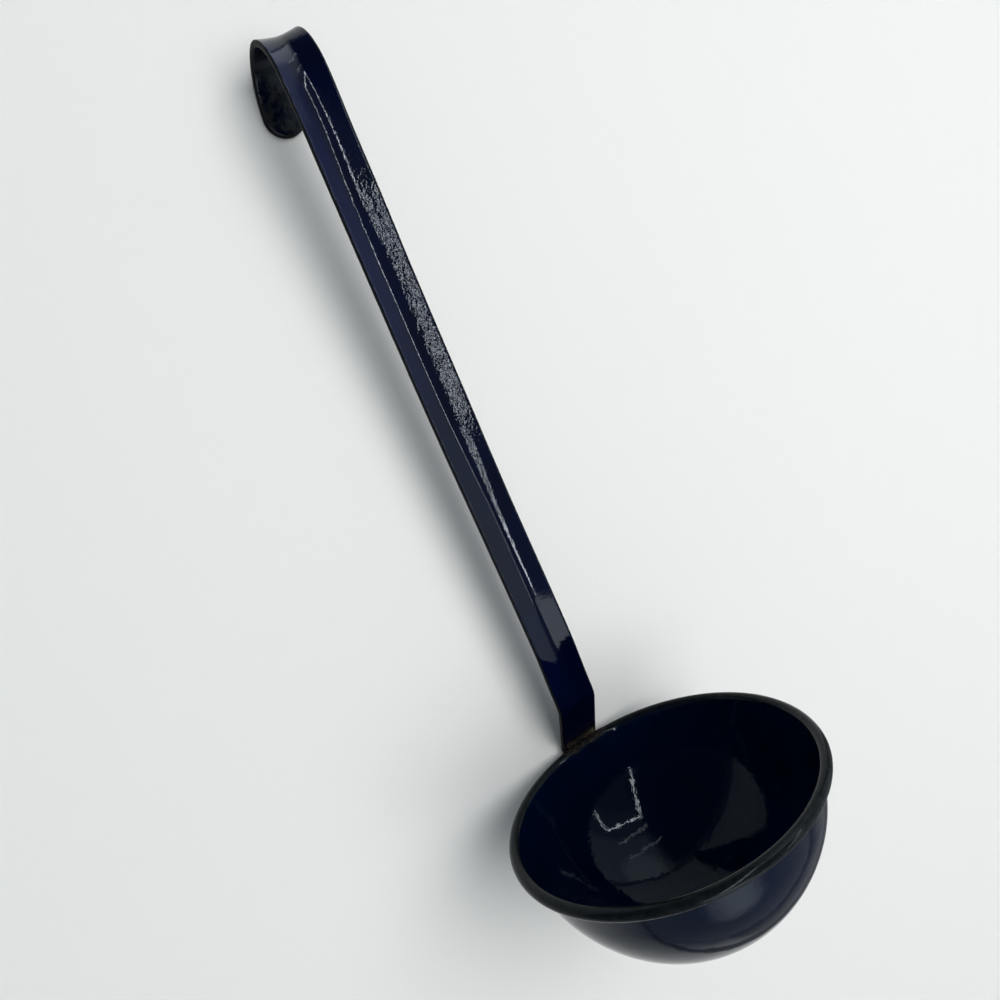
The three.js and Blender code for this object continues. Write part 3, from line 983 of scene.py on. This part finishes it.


# Floor. Only as mirrored in the enamel, it is painted darker far off, with a dark gap before its far side: a
# painted reflection.
FLOOR_PALE = (0.9, 0.905, 0.875, 1)
FLOOR_PALER = (0.909, 0.91405, 0.88375, 1)
FLOOR_FAR = (0.35, 0.35, 0.35, 1)
FLOOR_GAP = (0.15, 0.15, 0.15, 1)
FLOOR_BEYOND = (0.95, 0.95, 0.95, 1)
FLOOR_FALLS = (0.43, 0.47)
FLOOR_FALLS_ALONG = (-0.2, -0.1)
FLOOR_WAY = (-0.56, -0.83)
FLOOR_EDGE = (0.2, 0.225)
FLOOR_GAP_END = (0.28, 0.34)
FLOOR_BEYOND_ACROSS = (-0.1, -0.01)
FLOOR_HALF = 12.0
FLOOR_GRAIN = (90, 4.0, 0.6)
FLOOR_ROUGHNESS = 0.6
FLOOR_GRAIN_ROUGHNESS = 0.1
FLOOR_BUMP = 0.02 * MM
FLOOR_SHINE = 0.2


def floor_finish():
    material, tree, place = new_finish("pale_floor")
    x, y, _ = place.parts()
    grain = noise_at(place, *FLOOR_GRAIN)
    away = (x * x + y * y).root()
    outwards = x * FLOOR_WAY[0] + y * FLOOR_WAY[1]
    # Only for mirrored rays is the floor painted darker far off, with a dark gap and a pale far side: painted
    # reflection
    mirrored = Wire.make(tree, "ShaderNodeLightPath", {}, {}, "Is Glossy Ray")
    far_off = away.ramp(*FLOOR_FALLS) * x.ramp(*FLOOR_FALLS_ALONG) * mirrored
    beyond = colour_mix(y.ramp(*FLOOR_BEYOND_ACROSS), FLOOR_FAR, FLOOR_BEYOND)
    beyond = colour_mix(outwards.ramp(*FLOOR_GAP_END), FLOOR_GAP, beyond)
    colour = colour_mix(grain, FLOOR_PALE, FLOOR_PALER)
    colour = colour_mix(far_off, colour, FLOOR_FAR)
    colour = colour_mix(outwards.ramp(*FLOOR_EDGE) * mirrored, colour, beyond)
    roughness = FLOOR_ROUGHNESS + FLOOR_GRAIN_ROUGHNESS * grain
    shine = {"Specular IOR Level": FLOOR_SHINE}
    end_finish(tree, coat(tree, colour, roughness, bump(grain, FLOOR_BUMP), shine))
    return material


def build_floor():
    mesh = bpy.data.meshes.new("floor")
    corners = [(-FLOOR_HALF, -FLOOR_HALF, 0), (FLOOR_HALF, -FLOOR_HALF, 0)]
    corners += [(FLOOR_HALF, FLOOR_HALF, 0), (-FLOOR_HALF, FLOOR_HALF, 0)]
    mesh.from_pydata(corners, [], [(0, 1, 2, 3)])
    mesh.materials.append(floor_finish())
    floor = bpy.data.objects.new("floor", mesh)
    bpy.context.scene.collection.objects.link(floor)


# Lamps, all at one height and facing down. Places in plan.
LAMP_HEIGHT = 1.2
STRIP_WIDTH = 0.036
STRIP_STRENGTH = 28.0
HOOK_END_STRENGTH = 38.0
NEAR_CORNER = Vector((1.03, -0.245))
FAR_CORNER = Vector((0.81, -1.22))
NEAR_END = Vector((-0.465, 0.329))
FAR_END = Vector((-0.55, -0.698))
SECOND_STRIP = (Vector((1.45, -1.48)), Vector((1.4, -0.3)))
SECOND_WIDTH = 0.05
SECOND_STRENGTH = 6.0
THIRD_STRIP = (Vector((2.8, -2.42)), Vector((2.46, -0.31)))
THIRD_WIDTH = 0.12
THIRD_STRENGTH = 4.0
PANEL = (Vector((-1.32, 0.275)), Vector((-0.48, 0.275)))
PANEL_WIDTH = 0.65
PANEL_STRENGTH = 2.6
KEY = (Vector((-0.65, -0.12)), Vector((0.79, -0.65)))
KEY_WIDTH = 0.95
KEY_STRENGTH = 3.3


def strip_lamp(name, start, end, width, strength):
    """A lamp that shines down from between two places in plan."""
    reach = end - start
    middle = (start + end) / 2
    data = bpy.data.lights.new(name, "AREA")
    data.shape = "RECTANGLE"
    data.size = reach.length
    data.size_y = width
    data.energy = strength * math.pi * reach.length * width
    lamp = bpy.data.objects.new(name, data)
    lamp.location = (middle.x, middle.y, LAMP_HEIGHT)
    lamp.rotation_euler.z = math.atan2(reach.y, reach.x)
    lamp.visible_camera = False
    bpy.context.scene.collection.objects.link(lamp)
    return lamp


def build_lamps():
    """Strips and a panel that only show mirrored in the enamel, and a soft key that lights everything."""
    mirrored = [
        strip_lamp("near_strip", NEAR_CORNER, NEAR_END, STRIP_WIDTH, STRIP_STRENGTH),
        strip_lamp("far_strip", FAR_CORNER, FAR_END, STRIP_WIDTH, STRIP_STRENGTH),
        strip_lamp("hook_end_strip", NEAR_CORNER, FAR_CORNER, STRIP_WIDTH, HOOK_END_STRENGTH),
        strip_lamp("second_strip", *SECOND_STRIP, SECOND_WIDTH, SECOND_STRENGTH),
        strip_lamp("third_strip", *THIRD_STRIP, THIRD_WIDTH, THIRD_STRENGTH),
        strip_lamp("soft_panel", *PANEL, PANEL_WIDTH, PANEL_STRENGTH),
    ]
    for lamp in mirrored:
        lamp.visible_diffuse = False
    key = strip_lamp("soft_key", *KEY, KEY_WIDTH, KEY_STRENGTH)
    key.visible_glossy = False


# Surrounding light: its strength for soft rays, for the camera, and for each side that the enamel mirrors
SOFT_LIGHT = 0.26
BACKDROP_LIGHT = 0.85
CEILING_LIGHT = 0.24
SIDE_LIGHT = 0.28
RIGHT_LIGHT = 0.92
RIGHT_LIGHT_AT_HOOK = 0.42
END_LIGHT = 0.42
END_LEFT_LIGHT = 1.0
END_SPOT_LIGHT = 2.3
SIDE_SPOT_LIGHT = 1.8
OPEN_LIGHT = 0.05
ROOM_TINT = (0.92, 1.0, 1.08, 1)

# Directions of the surrounding light, and between which parts of a direction each side starts
END_SPOT_WAY = (-0.829, 0.0, 0.559)
SIDE_SPOT_WAY = (0.83, -0.545, 0.09)
OPEN_WAY = (0.848, 0.53)
CEILING_UP = (0.74, 0.82)
RIGHT_ACROSS = (0.1, 0.3)
RIGHT_HOOK_ALONG = (0.0, 0.3)
RIGHT_HOOK_UP = (0.48, 0.56)
END_ALONG = (0.45, 0.75)
END_UP = (0.45, 0.6)
END_LEFT_ACROSS = (0.52, 0.62)
END_LEFT_UP = (0.1, 0.16)
END_SPOT_NEAR = (0.935, 0.995)
SIDE_SPOT_NEAR = (0.95, 0.985)
OPEN_NEAR = (0.62, 0.77)
OPEN_FLAT = (0.2, 0.4)
OPEN_UP = (-0.02, 0.06)
LEAST_FLAT = 0.001


def toward(level, share, target):
    return level + share * (target - level)


def mirrored_light(x, y, z):
    """The strength of the surroundings in a direction, as the enamel mirrors them."""

    def nearness(way):
        return x * way[0] + y * way[1] + z * way[2]

    at_hook = x.ramp(*RIGHT_HOOK_ALONG) * z.ramp(*RIGHT_HOOK_UP)
    light = toward(SIDE_LIGHT, (0 - y).ramp(*RIGHT_ACROSS), toward(RIGHT_LIGHT, at_hook, RIGHT_LIGHT_AT_HOOK))
    at_end = (0 - x).ramp(*END_ALONG)
    light = toward(light, at_end * (1 - z.ramp(*END_UP)), END_LIGHT)
    at_end_left = at_end * y.ramp(*END_LEFT_ACROSS) * (1 - z.ramp(*END_LEFT_UP))
    light = toward(light, at_end_left, END_LEFT_LIGHT)
    light = toward(light, nearness(END_SPOT_WAY).ramp(*END_SPOT_NEAR), END_SPOT_LIGHT)
    light = toward(light, z.ramp(*CEILING_UP), CEILING_LIGHT)
    flat = (x * x + y * y).root() + LEAST_FLAT
    sideways = (x * OPEN_WAY[0] + y * OPEN_WAY[1]) / flat
    opening = sideways.ramp(*OPEN_NEAR) * flat.ramp(*OPEN_FLAT) * z.ramp(*OPEN_UP)
    light = toward(light, opening, OPEN_LIGHT)
    return toward(light, nearness(SIDE_SPOT_WAY).ramp(*SIDE_SPOT_NEAR), SIDE_SPOT_LIGHT)


def build_world():
    world = bpy.data.worlds.new("soft_room")
    bpy.context.scene.world = world
    world.use_nodes = True
    tree = world.node_tree
    tree.nodes.clear()
    way = Wire.make(tree, "ShaderNodeTexCoord", {}, {}, "Generated")
    mirrored = Wire.make(tree, "ShaderNodeLightPath", {}, {}, "Is Glossy Ray")
    seen = Wire.make(tree, "ShaderNodeLightPath", {}, {}, "Is Camera Ray")
    strength = toward(SOFT_LIGHT, mirrored, mirrored_light(*way.parts()))
    strength = toward(strength, seen, BACKDROP_LIGHT)
    light = Wire.make(tree, "ShaderNodeBackground", {}, {"Color": ROOM_TINT, "Strength": strength})
    Wire.make(tree, "ShaderNodeOutputWorld", {}, {"Surface": light})


# Making

place_camera()
build_floor()
build_lamps()
build_world()

bowl = build_bowl(bowl_finish())
strap = build_strap(strap_finish())
weld_scale = weld_finish()
weld = build_weld(weld_scale)

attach(bowl, "root")
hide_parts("bowl")
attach(strap, "root")
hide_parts("handle")
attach(weld, "root")
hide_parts("rim_weld")

for node in ("spot_weld_upper", "spot_weld_lower"):
    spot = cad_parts[node]
    spot.data.materials.clear()
    spot.data.materials.append(weld_scale)

bpy.context.scene.view_settings.view_transform = "Standard"
